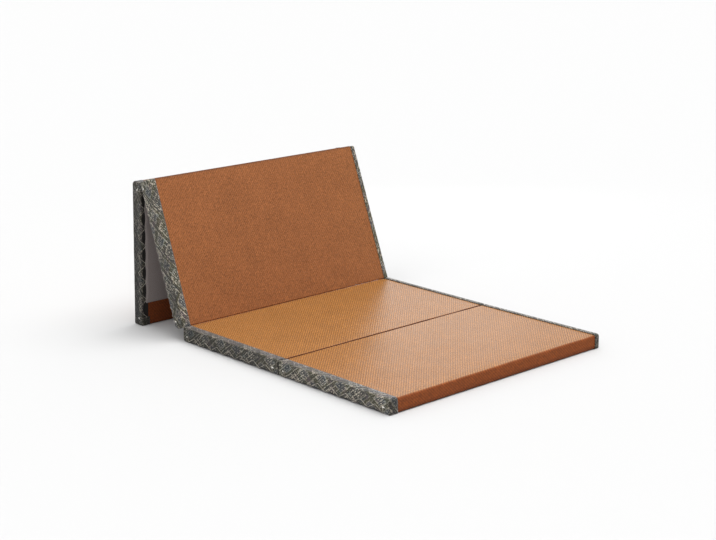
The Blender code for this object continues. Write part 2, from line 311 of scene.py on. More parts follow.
def linkTo(socket, value):
    if isinstance(value, bpy.types.NodeSocket):
        socket.id_data.links.new(value, socket)
    elif value is not None:
        socket.default_value = value


def feed(sockets, **values):
    for label, value in values.items():
        linkTo(sockets[label], value)


def placeNode(tree, kind, **settings):
    made = tree.nodes.new(kind)
    for name, setting in settings.items():
        setattr(made, name, setting)
    return made


# a new node in the tree of the sockets that are linked to it
def addNode(kind, *values, **settings):
    tree = next(value.id_data for value in values if isinstance(value, bpy.types.NodeSocket))
    made = placeNode(tree, kind, **settings)
    for socket, value in zip(made.inputs, values):
        linkTo(socket, value)
    return made


def calc(operation, *values, clamp=False):
    return addNode("ShaderNodeMath", *values, operation=operation, use_clamp=clamp).outputs[0]


def times(value, *factors):
    for factor in factors:
        value = calc("MULTIPLY", value, factor)
    return value


def mixed(share, first, second, blend="MIX"):
    values = (share, *[None] * 5, first, second)  # the colours are its seventh and eighth inputs
    return addNode("ShaderNodeMix", *values, data_type="RGBA", blend_type=blend).outputs[2]


def tinted(colour, tint, share=1.0):
    return mixed(share, colour, tint, "MULTIPLY")


def noisy(vector, scale, detail, roughness=0.55):
    return addNode("ShaderNodeTexNoise", vector, None, scale, detail, roughness).outputs[0]


def ranged(value, fromLow, fromHigh, toLow=0.0, toHigh=1.0):
    return addNode("ShaderNodeMapRange", value, fromLow, fromHigh, toLow, toHigh).outputs[0]


def spread(value, low, high):
    return ranged(value, 0.0, 1.0, low, high)


def partsOf(vector):
    return addNode("ShaderNodeSeparateXYZ", vector).outputs


# a tone of its own for every cell that two whole numbers name
def cellTone(*numbers):
    cell = addNode("ShaderNodeCombineXYZ", *numbers).outputs[0]
    return addNode("ShaderNodeTexWhiteNoise", cell, noise_dimensions="2D").outputs["Value"]


# a group that works out floats from the cloth's map
def newGroup(name, sizes, results):
    group = bpy.data.node_groups.new(name, "ShaderNodeTree")
    group.interface.new_socket("Surface", in_out="INPUT", socket_type="NodeSocketVector")
    for label, size in sizes.items():
        group.interface.new_socket(label, in_out="INPUT", socket_type="NodeSocketFloat").default_value = size
    for label in results:
        group.interface.new_socket(label, in_out="OUTPUT", socket_type="NodeSocketFloat")
    return group, group.nodes.new("NodeGroupInput").outputs, group.nodes.new("NodeGroupOutput").inputs


def useGroup(group, surface, **values):
    made = placeNode(surface.id_data, "ShaderNodeGroup", node_tree=group)
    feed(made.inputs, Surface=surface, **values)
    return made.outputs


def newMaterial(name, roughness, specular, sheen=0.0, sheenRoughness=0.4):
    material = bpy.data.materials.new(name)
    material.use_nodes = True
    shader = material.node_tree.nodes["Principled BSDF"]
    feed(shader.inputs, **{"Roughness": roughness, "Specular IOR Level": specular, "Sheen Weight": sheen,
                           "Sheen Roughness": sheenRoughness})
    return material, material.node_tree, shader


# colour, roughness and relief of a cloth
def finishCloth(shader, look, colour, rough, height):
    bump = shader.id_data.nodes.new("ShaderNodeBump")
    feed(bump.inputs, Strength=look["bump"], Distance=look["depth"], Height=height)
    feed(shader.inputs, **{"Base Color": colour, "Roughness": rough, "Normal": bump.outputs["Normal"]})


def attributeOf(tree, name):
    return placeNode(tree, "ShaderNodeAttribute", attribute_name=name).outputs["Fac"]


# how far a surface is turned away from the eye
def turnedAway(tree):
    return placeNode(tree, "ShaderNodeLayerWeight").outputs["Facing"]


def surfaceUv(tree):
    return placeNode(tree, "ShaderNodeUVMap", uv_map="cloth").outputs[0]


# Strand is a strand's width in metres, arch how far out on its arch the strand's edge lies, stretch how many strands
# it crosses before its own tone changes, and strandShare how much that tone counts
twillValues = {"Strand": 0.0025, "arch": 0.98, "stretch": 33.0, "strandShare": 0.22}


# two-by-two twill of flat reed strands, whose diagonals run the same way over the whole cloth
def reedTwillGroup():
    values = twillValues
    group, given, wanted = newGroup("reedTwill", {"Strand": values["Strand"]}, ("Over", "Height", "Tone", "Groove"))
    places = [calc("DIVIDE", output, given["Strand"]) for output in partsOf(given["Surface"])[:2]]
    cells = [calc("FLOOR", calc("ADD", place, 0.5)) for place in places]
    rise = calc("SUBTRACT", *cells)
    over = calc("LESS_THAN", calc("FLOORED_MODULO", rise, 4.0), 1.5)
    under = calc("SUBTRACT", 1.0, over)

    def onTop(first, second):
        return calc("ADD", times(over, first), times(under, second))

    # each strand is a flat arch across its width
    arches = []
    for place, cell in zip(places, cells):
        off = times(calc("ABSOLUTE", calc("SUBTRACT", place, cell)), 2 * values["arch"])
        arches.append(calc("SQRT", calc("SUBTRACT", 1.0, calc("POWER", off, 4.0), clamp=True)))
    height = onTop(*arches)
    # every float has a tone of its own, and every strand leans a little to the light or the dark side
    tones = []
    for cell, along in zip(cells, places[::-1]):
        ownTone = cellTone(cell, calc("FLOOR", calc("DIVIDE", rise, 4.0)))
        strandTone = cellTone(cell, calc("FLOOR", calc("DIVIDE", along, values["stretch"])))
        tones.append(ranged(values["strandShare"], 0.0, 1.0, ownTone, strandTone))
    groove = calc("SUBTRACT", 1.0, height, clamp=True)
    feed(wanted, Over=over, Height=height, Tone=onTop(*tones), Groove=groove)
    return group


# scale, detail and roughness of each noise, and the range of it that is spread from 0 to 1
mottleValues = {"Slow": (9.0, 3.0, 0.55, 0.32, 0.68), "Fine": (260.0, 2.0, 0.6, 0.3, 0.7),
                "Marks": (130.0, 1.0, 0.5, 0.35, 0.65)}


# slow changes of tone and small marks over a cloth
def clothMottleGroup():
    group, given, wanted = newGroup("clothMottle", {}, mottleValues)
    for label, (scale, detail, roughness, low, high) in mottleValues.items():
        linkTo(wanted[label], ranged(noisy(given["Surface"], scale, detail, roughness), low, high))
    return group


# plain weave of round threads
def plainWeaveGroup():
    group, given, wanted = newGroup("plainWeave", {"Thread": 0.0009}, ["Height"])
    waves = [calc("SINE", times(calc("DIVIDE", output, given["Thread"]), math.pi))
             for output in partsOf(given["Surface"])[:2]]
    feed(wanted, Height=calc("ABSOLUTE", times(*waves)))
    return group


# sizes of the lozenges in metres, and the ranges from which and to which each part of the figure is spread
figureSizes = {"Along": 0.024, "Across": 0.018, "Broad": 0.084}
figureValues = {
    "wobble": (0.0, 1.0, -0.16, 0.16), "broadShape": 0.75, "net": (0.71, 0.79), "lean": (-0.05, 0.05, 0.42, 1.0),
    "fray": (0.41, 0.56, 0.15, 1.0), "wear": (0.36, 0.58, 0.45, 1.0), "dot": (0.34, 0.24),
    "dotFade": (0.75, 0.55, 0.25, 0.9), "rimPlace": 0.62, "rim": (0.07, 0.03), "rimShare": 0.9,
    "hatchPitch": 0.0046, "hatch": (0.30, 0.42), "hatchFade": (0.62, 0.40, 0.05, 0.26), "medallion": (0.66, 0.58),
}


# silver brocade: a net of small lozenges with a dot in each, over larger medallions in a half-drop
def brocadeFigureGroup():
    values = figureValues
    group, given, wanted = newGroup("brocadeFigure", figureSizes, ("Silver", "Medallion", "CellTone", "Drift"))
    surface = given["Surface"]
    across, along = partsOf(surface)[:2]
    wobble = ranged(noisy(surface, 60.0, 1.0), *values["wobble"])

    def fromMiddle(place):
        return calc("ABSOLUTE", calc("SUBTRACT", calc("FRACT", place), 0.5))

    def lozenges(tall, wide, shift):
        first, second = calc("ADD", calc("DIVIDE", along, tall), shift), calc("DIVIDE", across, wide)
        slants = (calc("ADD", first, second), calc("SUBTRACT", first, second))
        offs = [times(fromMiddle(slant), 2.0) for slant in slants]
        return slants, offs, calc("MAXIMUM", *offs)

    smallOffs, small = lozenges(given["Along"], given["Across"], wobble)[1:]
    broadSlants, _, broad = lozenges(given["Broad"], times(given["Broad"], values["broadShape"]), 0.0)
    drift = noisy(surface, 16.0, 2.0)
    # silver floats show on one slant more than on the other, and fray into dashes
    leaning = ranged(calc("SUBTRACT", smallOffs[1], smallOffs[0]), *values["lean"])
    frayed = ranged(noisy(surface, 130.0, 2.0, 0.6), *values["fray"])
    net = times(ranged(small, *values["net"]), leaning, frayed, ranged(drift, *values["wear"]))
    dots = times(ranged(small, *values["dot"]), ranged(broad, *values["dotFade"]))
    toRim = calc("ABSOLUTE", calc("SUBTRACT", broad, values["rimPlace"]))
    rim = times(ranged(toRim, *values["rim"]), frayed, values["rimShare"])
    # fine slanting floats fill the ground
    hatch = fromMiddle(calc("DIVIDE", calc("SUBTRACT", across, along), values["hatchPitch"]))
    hatched = times(ranged(hatch, *values["hatch"]), ranged(drift, *values["hatchFade"]))
    figure = calc("MAXIMUM", calc("MAXIMUM", net, dots), calc("MAXIMUM", rim, hatched))
    feed(wanted, Silver=figure, Medallion=ranged(broad, *values["medallion"]), Drift=drift,
         CellTone=cellTone(*[calc("FLOOR", slant) for slant in broadSlants]))
    return group


twillGroup = reedTwillGroup()
mottleGroup = clothMottleGroup()
weaveGroup = plainWeaveGroup()
brocadeGroup = brocadeFigureGroup()
print("node groups ready")

matClothLook = {
    "warp": (0.350, 0.126, 0.043, 1), "weft": (0.272, 0.098, 0.033, 1), "groove": (0.050, 0.013, 0.004, 1),
    "warpAside": (0.438, 0.195, 0.048, 1), "weftAside": (0.222, 0.092, 0.022, 1), "aside": (0.2, 0.8),
    "ends": (0.72, 0.46, 0.25, 1), "paintedShade": (0.30, 0.22, 0.16, 1), "tone": (0.75, 1.23), "slow": (0.94, 1.05),
    "marks": (0.90, 1.09), "grooveShare": 0.7, "roughness": 0.28, "fine": 0.10, "dullEnds": 0.45, "dullGroove": 0.2,
    "bump": 0.6, "depth": 0.0003,
}


def matClothMaterial():
    look = matClothLook
    material, tree, shader = newMaterial("matCloth", look["roughness"], 0.28)
    surface = surfaceUv(tree)
    twill, mottle = useGroup(twillGroup, surface), useGroup(mottleGroup, surface)
    # painted sheen: polished reed looks deeper from the front and lighter and yellower from aside, where its floats
    # differ more
    turned = ranged(turnedAway(tree), *look["aside"])
    warp, weft = (mixed(turned, look[key], look[key + "Aside"]) for key in ("warp", "weft"))
    tone = times(spread(twill["Tone"], *look["tone"]), spread(mottle["Slow"], *look["slow"]),
                 spread(mottle["Marks"], *look["marks"]))
    ends, paintedShade = attributeOf(tree, "ends"), attributeOf(tree, "paintedShade")
    # painted sheen: warp and weft floats of the one reed take a lighter and a darker colour
    colour = tinted(mixed(twill["Over"], weft, warp), tone)
    colour = mixed(times(calc("POWER", twill["Groove"], 1.5), look["grooveShare"]), colour, look["groove"])
    # painted shade: the reed is made darker and redder at the ends and below the face, and darker still where painted
    # shade lies
    colour = tinted(tinted(colour, look["ends"], ends), look["paintedShade"], paintedShade)
    rough = calc("MULTIPLY_ADD", mottle["Fine"], look["fine"], look["roughness"] - look["fine"] / 2)
    rough = calc("MULTIPLY_ADD", calc("MAXIMUM", ends, paintedShade), look["dullEnds"], rough)
    rough = calc("MULTIPLY_ADD", twill["Groove"], look["dullGroove"], rough)
    finishCloth(shader, look, colour, rough, twill["Height"])
    return material


# colours, how dark the painted shade makes the cloth at most, and the ranges over which each colour or change of tone
# comes in
brocadeLook = {
    "ground": (0.016, 0.017, 0.018, 1), "blue": (0.022, 0.028, 0.038, 1), "olive": (0.028, 0.027, 0.013, 1),
    "mauve": (0.050, 0.034, 0.048, 1), "silver": (0.62, 0.56, 0.45, 1), "aqua": (0.42, 0.43, 0.38, 1),
    "sheen": (0.242, 0.248, 0.300, 1), "glint": (0.80, 0.74, 0.69, 1), "paintedShade": 0.20, "darkest": 0.06,
    "oliveCells": (0.36, 0.40), "blueCells": (0.62, 0.66), "mauvePatches": (0.56, 0.64, 0.0, 0.8),
    "silverPatches": (0.36, 0.48), "glance": (0.5, 0.85, 0.0, 0.24), "glintFrom": 0.08, "silverTone": (0.90, 0.10),
    "silverMost": 1.12, "wear": (0.34, 0.60, 0.60, 1.0), "weave": (0.76, 1.08), "roughness": (0.60, 0.38),
    "metal": 0.3, "figureHeight": 0.7, "bump": 0.8, "depth": 0.0005,
}


def brocadeMaterial():
    look = brocadeLook
    material, tree, shader = newMaterial("borderBrocade", 0.5, 0.28, 0.07, 0.35)
    surface = surfaceUv(tree)
    figure = useGroup(brocadeGroup, surface)
    threads = useGroup(weaveGroup, surface, Thread=0.0006)["Height"]
    patch = noisy(surface, 30.0, 2.0)
    ground = mixed(ranged(figure["CellTone"], *look["oliveCells"]), look["ground"], look["olive"])
    inBlue = times(ranged(figure["CellTone"], *look["blueCells"]), figure["Medallion"])
    ground = mixed(inBlue, ground, look["blue"])
    ground = mixed(ranged(patch, *look["mauvePatches"]), ground, look["mauve"])
    glance = ranged(turnedAway(tree), *look["glance"])
    ground = mixed(glance, ground, look["sheen"])
    silver = mixed(ranged(patch, *look["silverPatches"]), look["aqua"], look["silver"])
    silver = mixed(ranged(glance, look["glintFrom"], look["glance"][3]), silver, look["glint"])
    # painted light and shade: the border's shade darkens the ground, and the silver less, and lightens both where it is
    # below nothing
    tone = calc("MULTIPLY_ADD", attributeOf(tree, "paintedShade"), look["paintedShade"] - 1, 1.0)
    tone = calc("MAXIMUM", tone, look["darkest"])
    silverTone = calc("MINIMUM", calc("MULTIPLY_ADD", tone, *look["silverTone"]), look["silverMost"])
    strength = times(figure["Silver"], ranged(figure["Drift"], *look["wear"]))
    colour = mixed(strength, tinted(ground, tone), tinted(silver, silverTone))
    colour = tinted(colour, spread(threads, *look["weave"]))
    linkTo(shader.inputs["Metallic"], times(figure["Silver"], look["metal"]))
    height = calc("MULTIPLY_ADD", figure["Silver"], look["figureHeight"], times(threads, 1 - look["figureHeight"]))
    finishCloth(shader, look, colour, spread(figure["Silver"], *look["roughness"]), height)
    return material


plainLook = {
    "lining": (0.335, 0.290, 0.275, 1), "liningDeep": (0.225, 0.190, 0.182, 1),
    "hinge": (0.125, 0.098, 0.058, 1), "hingeDeep": (0.074, 0.057, 0.034, 1),
    "coverAndShade": (0.016, 0.013, 0.011, 1), "coverAndShadeDeep": (0.007, 0.006, 0.005, 1),
    "paintedShade": (0.360, 0.140, 0.055, 1), "mottle": 0.25, "roughnessChange": 0.06, "bump": 0.7, "depth": 0.0004,
}


def plainClothMaterial(name, key, thread, roughness, sheen=0.15, creased=False):
    look, light, deep = plainLook, plainLook[key], plainLook[key + "Deep"]
    material, tree, shader = newMaterial(name, roughness, 0.25, sheen, 0.5)
    surface = surfaceUv(tree)
    weave = useGroup(weaveGroup, surface, Thread=thread)["Height"]
    mottle = useGroup(mottleGroup, surface)
    colour = mixed(ranged(weave, 0.0, 0.8), deep, light)
    colour = mixed(times(mottle["Slow"], look["mottle"]), colour, deep)
    # painted shade: in a crease the hinge cloth takes the brown of reed in shade
    if creased:
        colour = mixed(attributeOf(tree, "paintedShade"), colour, look["paintedShade"])
    change = look["roughnessChange"]
    finishCloth(shader, look, colour, spread(mottle["Fine"], roughness - change, roughness + change), weave)
    return material


threadLook = {
    "light": (0.62, 0.57, 0.48, 1), "deep": (0.15, 0.13, 0.105, 1), "shade": (0.34, 0.31, 0.26, 1),
    "shadeDeep": (0.09, 0.08, 0.065, 1), "knot": (0.92, 0.90, 0.84, 1), "fibre": (0.32, 0.62, 0.25, 1.0),
    "patches": (0.40, 0.58), "patchShare": 0.8, "roughness": (0.5, 0.75), "bump": 0.6, "depth": 0.0003,
}


def threadMaterial():
    look = threadLook
    material, tree, shader = newMaterial("lacingThread", 0.6, 0.4, 0.3, 0.4)
    place = tree.nodes.new("ShaderNodeTexCoord").outputs["Object"]
    fibre = noisy(place, 1400.0, 2.0, 0.6)
    patches = ranged(noisy(place, 95.0, 1.0), *look["patches"])
    colour = mixed(ranged(fibre, *look["fibre"]), look["deep"], look["light"])
    colour = mixed(times(patches, look["patchShare"]), colour, look["deep"])
    colour = mixed(attributeOf(tree, "shade"), colour, mixed(patches, look["shade"], look["shadeDeep"]))
    colour = mixed(attributeOf(tree, "pale"), colour, look["knot"])
    finishCloth(shader, look, colour, spread(fibre, *look["roughness"]), fibre)
    return material


matCloth = matClothMaterial()
brocade = brocadeMaterial()
liningCloth = plainClothMaterial("liningCloth", "lining", 0.0009, 0.85)
hingeCloth = plainClothMaterial("hingeCloth", "hinge", 0.0011, 0.8, 0.04, True)
# near-black cloth of the pad beyond the strips, seen between the border's scallops: the mat cloth's dark back, with
# painted shade
darkCoverAndShade = plainClothMaterial("darkCoverAndShade", "coverAndShade", 0.0012, 0.9)
threadCloth = threadMaterial()
print("materials ready")


# writes the cloth map: metres across and along the cloth
def writeMap(shape, place):
    layer = shape.loops.layers.uv.new("cloth")
    for face in shape.faces:
        normal = face.normal
        for loop in face.loops:
            loop[layer].uv = place(loop.vert.co, normal)


# pads: the mat face is a grid with a point at every crossing of two strands. A pair is the two heights, or the two
# distances from an edge, between which a change comes in.
padValues = {
    "strand": 0.0025, "relief": 0.00022, "wovenFrom": 0.004, "middleLines": (0.35, 0.65), "darkBeyond": 0.005,
    "unevenness": 0.0006, "unevenFrom": 0.03, "broadWaves": 6, "fineWaves": 17, "fineShare": 0.5,
    "underShade": 0.5, "footShade": 0.8, "foot": (0.009, 0.002), "topShade": 0.65, "top": (0.009, 0.003),
    "edgeSag": 0.0012, "sag": (0.035, 0.004), "sagWaves": 9, "sagMean": 0.5,
    "topBulge": 0.0026, "bulge": (0.014, 0.003), "bulgeHeight": (0.030, 0.040),
}


def makePad(panel):
    name, seed, values, strand, inset = panel["name"], panel["seed"], padValues, padValues["strand"], cover
    farSide = halfWidth - inset
    rowStart = math.ceil(max(panel["faceStart"], panel["underStart"]) / strand) * strand
    rowEnd = length - math.ceil(max(panel["faceEnd"], panel["underEnd"]) / strand) * strand
    left, right = -stripLine(panel, -1), stripLine(panel, 1)
    sideLines = [farSide] + [farSide - d for d in arcLines(sideRound - inset, 2)]
    xLines = [left - values["darkBeyond"], left, right] + [sign * line for line in sideLines for sign in (-1, 1)]
    yLines, zLines = cornerLines(panel, inset)
    yLines += [inset, length - inset, rowStart, rowEnd]
    zLines += [inset, thick - inset] + [thick * share for share in values["middleLines"]]
    shape = gridBox(spacedLines(xLines), spacedLines(yLines), spacedLines(zLines))
    rows, columns = round((rowEnd - rowStart) / strand), round((right - left) / strand)
    top = thick - inset - onLine
    splitEdges(shape, 1, rowStart, rowEnd, rows - 1,
               lambda co: co.z > top and left - onLine < co.x < right + onLine)
    splitEdges(shape, 0, left, right, columns - 1,
               lambda co: co.z > inset + onLine or not rowStart < co.y < rowEnd)
    ends, paintedShade = (shape.verts.layers.float.new(label) for label in ("ends", "paintedShade"))
    for vert in shape.verts:
        vert[ends], inCrease = endShares(vert.co, panel, inset)
        # painted shade on the pad: its underside by the panel's shade, the foot of a flat panel, the top end of the
        # back and a crease
        low = panel["shade"] * values["underShade"] if vert.co.z < thick / 2 else 0.0
        if not panel["raised"]:
            low = max(low, values["footShade"] * smoothStep(*values["foot"], vert.co.z))
        if name == "back":
            low = max(low, values["topShade"] * smoothStep(*values["top"], length - vert.co.y))
        vert[paintedShade] = max(inCrease, low)
        onFace = vert.co.z > top
        column, row = round((vert.co.x - left) / strand), round(vert.co.y / strand)
        vert.co = crowned(roundedPoint(vert.co, panel, inset), panel)
        x, y, z = vert.co
        toStrip = min(x - left, right - x)
        woven = smoothStep(0.0, values["wovenFrom"], toStrip)
        # the upper end of the back bulges over its hinge cloth
        if name == "back":
            high = smoothStep(*values["bulgeHeight"], z) * smoothStep(*values["bulge"], length - y)
            vert.co.y += values["topBulge"] * woven * high
        if onFace:
            rise = values["fineShare"] * waver(values["fineWaves"], x, y, seed + 5)
            rise = values["unevenness"] * (rise + waver(values["broadWaves"], x, y, seed))
            if name == "front":
                wave = values["sagMean"] + waver(values["sagWaves"], x, 0, 2)
                rise -= values["edgeSag"] * smoothStep(*values["sag"], y) * wave
            vert.co.z += smoothStep(0.0, values["unevenFrom"], toStrip) * rise
            vert.co.z += values["relief"] * woven * (1 if (column - row) % 4 < 2 else -1)
    turnOutward(shape)
    # beyond the strips the pad takes the near-black cloth, the mat cloth's dark back with painted shade
    for face in shape.faces:
        x = face.calc_center_median().x
        if abs(x) > stripLine(panel, x) + values["darkBeyond"]:
            face.material_index = 1
    writeMap(shape, lambda co, normal: (co.x - left, runRound(co, normal, -1)))
    settle(shape, panel)
    piece = finishPiece("pad_" + name, shape, matCloth, darkCoverAndShade)
    dressSolid(piece, "panel_" + name)
    return piece


pads = [makePad(panel) for panel in panels]
print("pads ready", [len(pad.data.polygons) for pad in pads])


# borders: the cloth lifts from the side at liftFrom and is drawn to the stitches below it
borderValues = {
    "liftFrom": 0.026, "base": 0.003, "pinch": 1.3, "pucker": 0.0007, "puckered": 0.004, "puckerMean": 0.4,
    "unevenness": 0.0003, "waves": 30, "unevenFrom": 0.01, "faceFrom": 0.9, "faceShare": 0.6,
    "outerShade": 0.08, "edgeLight": 0.40, "lightBelow": 0.012, "faceShadeFrom": 0.001, "rowApart": 0.0008,
    "acrossStrip": (0.28, 0.56), "turnedUnder": 0.2,
    "upTheSide": (0.0072, 0.010, 0.0125, 0.016, 0.0215, 0.032, 0.037), "mapApart": 0.4,
}


def stitchesAt(y):
    return (y - lacedFrom) / stitchPitch


# length of cloth from the height of the lift to the laced edge; an edge below nothing is tucked under
def edgeRun(panel, y):
    risen = abs(math.sin(math.pi * stitchesAt(y))) ** borderValues["pinch"]
    run = borderValues["liftFrom"] - panel["atStitch"] - (panel["inScallop"] - panel["atStitch"]) * risen
    return run + (math.pi / 2 - 1) * sideRound if panel["raised"] else run


# point after a run from top straight down the right side, round the lower corner and in under
def downAndUnder(run, y, top, off):
    down, bend = top - sideRound, math.pi / 2 * sideRound
    if run <= down:
        return Vector((halfWidth + off, y, top - run))
    if run >= down + bend:
        return Vector((halfWidth - sideRound - (run - down - bend), y, -off))
    angle, reach = (run - down) / sideRound, sideRound + off
    return Vector((halfWidth - sideRound + reach * math.cos(angle), y, sideRound - reach * math.sin(angle)))


# painted light and shade of the brocade at a point of the panel's box
def borderShade(panel, side, co):
    values, (start, end), faceStart = borderValues, panel["sides"], panel["faceStart"]
    shade = start + (end - start) * co.y / length
    if panel["raised"]:
        shade += values["outerShade"]
        shade -= values["edgeLight"] * smoothStep(values["liftFrom"], values["lightBelow"], co.z)
    onStrip = smoothStep(values["faceShadeFrom"], sideRound, halfWidth - co.x)
    shade += (panel["onFace"][side > 0] - shade) * onStrip
    shade += (panel["fold"] - shade) * smoothStep(faceStart, endValues["darkest"] * faceStart, co.y)
    return shade + max(0.0, 1 - shade) * endShares(co, panel, 0.0)[1]


# face strip, side, two end faces and the two short folds under them
def borderFlatArea(panel, width):
    free = mat["threadEnd"]
    sideHeight = thick - borderValues["liftFrom"] + sum(edgeRun(panel, y) for y in stitchLines[:-1]) / stitchRows
    return width * length + sideHeight * lacedLength + 2 * (width * thick + width * free + thick * free)


def makeBorder(panel, side, sideName):
    values, lift = borderValues, borderValues["liftFrom"]
    line = stripLine(panel, side)
    width = halfWidth - line
    xLines = [line, halfWidth] + [line + share * width for share in values["acrossStrip"]]
    yLines, zLines = cornerLines(panel, 0.0)
    yLines += [0.0, length, *stitchLines]
    zLines += [0.0, thick, lift, *values["upTheSide"]]
    for d in arcLines(sideRound):
        xLines.append(halfWidth - d)
        yLines += [d, length - d]
        zLines += [d, thick - d]
    zLines = spacedLines(zLines)
    base = min(zLines, key=lambda z: abs(z - values["base"]))
    shape = gridBox(spacedLines(xLines), spacedLines(yLines, values["rowApart"]), zLines)
    doomed = []
    for face in shape.faces:
        x, y, z = face.calc_center_median()
        if x < line + onLine or (lacedFrom < y < lacedTo and z < base):
            doomed.append(face)
    bmesh.ops.delete(shape, geom=doomed, context="FACES")
    paintedShade = shape.verts.layers.float.new("paintedShade")
    for vert in shape.verts:
        x, y, z = vert.co
        vert[paintedShade] = borderShade(panel, side, vert.co)
        if x > halfWidth - onLine and lacedFrom + 10 * onLine < y < lacedTo - 10 * onLine and z < lift:
            run = (lift - z) / (lift - base) * edgeRun(panel, y)
            vert.co = crowned(downAndUnder(run, y, lift, 0.0), panel)
        else:
            vert.co = crowned(roundedPoint(vert.co, panel, 0.0), panel)
        x, y, z = vert.co
        if lacedFrom < y < lacedTo and x > halfWidth - sideRound and z < lift:
            pucker = values["pucker"] * smoothStep(lift, values["puckered"], z)
            mean = values["puckerMean"]
            vert.co.x += pucker * (mean + (1 - mean) * math.cos(2 * math.pi * stitchesAt(y)))
        uneven = values["unevenness"] * waver(values["waves"], x, y, values["waves"] * z + panel["seed"] + side)
        if panel["raised"] or z > values["unevenFrom"]:
            vert.co.x += uneven * smoothStep(0.0, values["unevenFrom"], x - line)
        if z > thick * values["faceFrom"]:
            vert.co.z += abs(uneven) * values["faceShare"]
    if side < 0:
        bmesh.ops.scale(shape, vec=(-1, 1, 1), verts=shape.verts)
    turnOutward(shape)
    if sum(face.normal.x * side * face.calc_area() for face in shape.faces) < 0:
        bmesh.ops.reverse_faces(shape, faces=shape.faces)

    def place(co, normal):
        start = 0.0 if side > 0 else values["mapApart"]
        if abs(normal.x) > steep:
            return (start + width + max(0.0, thick - co.z), co.y)
        if normal.z < -values["turnedUnder"] and lacedFrom < co.y < lacedTo:
            return (start + width + thick + halfWidth - abs(co.x), co.y)
        return (start + abs(co.x) - line, runRound(co, normal))

    writeMap(shape, place)
    settle(shape, panel)
    piece = finishPiece(f"brocade_{panel['name']}_{sideName}", shape, brocade)
    wallThickness(piece, mat["cloth"], -1.0)
    dressSolid(piece, f"border_{panel['name']}_{sideName}")
    borderFlatArea(panel, width)
    return piece


sides = ((-1, "left"), (1, "right"))
borders = [makeBorder(panel, side, sideName) for panel in panels for side, sideName in sides]
print("borders ready", len(borders[0].data.polygons))


# linings: beyond fixed they are drawn to their scalloped edge
liningValues = {
    "inset": 0.0145, "scallop": 0.004, "fixed": 0.40, "columns": 56, "stepWidth": 0.0006, "rowApart": 0.0004,
    "wave": 0.0003, "waves": 11, "waveFrom": 0.03, "waveWithin": (0.425, 0.38),
}
liningFrom, liningTo = lacedFrom + gap, lacedTo - gap


def liningEdge(y, line):
    if y < liningFrom + onLine or y > liningTo - onLine:
        return line - gap
    scallop = liningValues["scallop"] * abs(math.sin(math.pi * stitchesAt(y)))
    return halfWidth - liningValues["inset"] - scallop


def makeLining(panel):
    values, near = liningValues, liningValues["rowApart"] / 2
    start = max(panel["underStart"], panel["turns"][0])
    end = length - max(panel["underEnd"], panel["turns"][1])
    rows = [liningFrom, liningFrom + values["stepWidth"], liningTo - values["stepWidth"], liningTo]
    rows += [liningFrom + near + (liningTo - liningFrom - 2 * near) * step / stitchRows
             for step in range(1, stitchRows)]
    shape = bmesh.new()
    bmesh.ops.create_grid(shape, x_segments=values["columns"], y_segments=1, size=0.5)
    bmesh.ops.scale(shape, vec=(2 * halfWidth, end - start, 1), verts=shape.verts)
    bmesh.ops.translate(shape, vec=(0, (start + end) / 2, 0), verts=shape.verts)
    for row in spacedLines([start, end] + [row for row in rows if start < row < end], values["rowApart"])[1:-1]:
        cutAcross(shape, 1, row)
    fixed = values["fixed"]
    for vert in shape.verts:
        x, y = vert.co.x, vert.co.y
        if abs(x) > fixed:
            share = (abs(x) - fixed) / (halfWidth - fixed)
            edge = liningEdge(y, stripLine(panel, x))
            vert.co.x = math.copysign(fixed + share * (edge - fixed), x)
        if panel["raised"]:
            away = smoothStep(0.0, values["waveFrom"], y - start) * smoothStep(0.0, values["waveFrom"], end - y)
            away *= smoothStep(*values["waveWithin"], abs(x))
            vert.co.z -= values["wave"] * away * (1 + waver(values["waves"], x, y, panel["seed"]))
    turnOutward(shape)
    if shape.faces[:][0].normal.z > 0:
        bmesh.ops.reverse_faces(shape, faces=shape.faces)
    writeMap(shape, lambda co, normal: (co.x, co.y))
    settle(shape, panel)
    piece = finishPiece("liningCloth_" + panel["name"], shape, liningCloth)
    wallThickness(piece, mat["cloth"], -1.0)
    dressSolid(piece, "lining_" + panel["name"])
    return piece


linings = [makeLining(panel) for panel in panels]
print("linings ready")


# lacing: reach is how far a stitch of a raised panel goes in under it; knots are measured in their own size
threadValues = {
    "radius": 0.0009, "reach": 0.017, "turn": 0.002, "step": 0.0025, "fewest": 6,
    "drift": 0.0006, "waves": 60, "strokeApart": 0.055, "knot": 0.0032, "knotSteps": 24, "knotStart": 0.4,
    "knotHeight": 0.55, "knotWidth": 0.45, "tail": 2.6, "tailDrop": 0.002, "paleFrom": 0.0015,
}


# centre of the thread after a run from its top down the side and in under
def threadPoint(side, run, y, top):
    place = downAndUnder(run, y, top, threadValues["radius"] + gap)
    place.x *= side
    return place


def threadRoute(panel, side):
    values, top = threadValues, panel["stitchTop"]
    longest = top - sideRound
    if panel["raised"]:
        longest += math.pi / 2 * sideRound + values["reach"] - sideRound
    half = values["turn"] / 2
    first, last = lacedFrom - half, lacedTo + half
    starts = [lacedFrom + index * stitchPitch / 2 for index in range(2 * mat["stitches"])]
    strokes = [(start + half, start + stitchPitch / 2 - half) for start in starts]
    count = max(values["fewest"], round(longest / values["step"]))
    runs = [longest * step / count for step in range(count + 1)]
    route = []
    for index, (start, end) in enumerate([(first, first)] + strokes + [(last, last)]):
        for step, run in enumerate(runs if index % 2 == 0 else runs[::-1]):
            y = start + step / count * (end - start)
            drift = values["drift"] * waver(values["waves"], y, index * values["strokeApart"], panel["seed"] + side)
            route.append(threadPoint(side, run, y + drift, top))
    return route, first, last


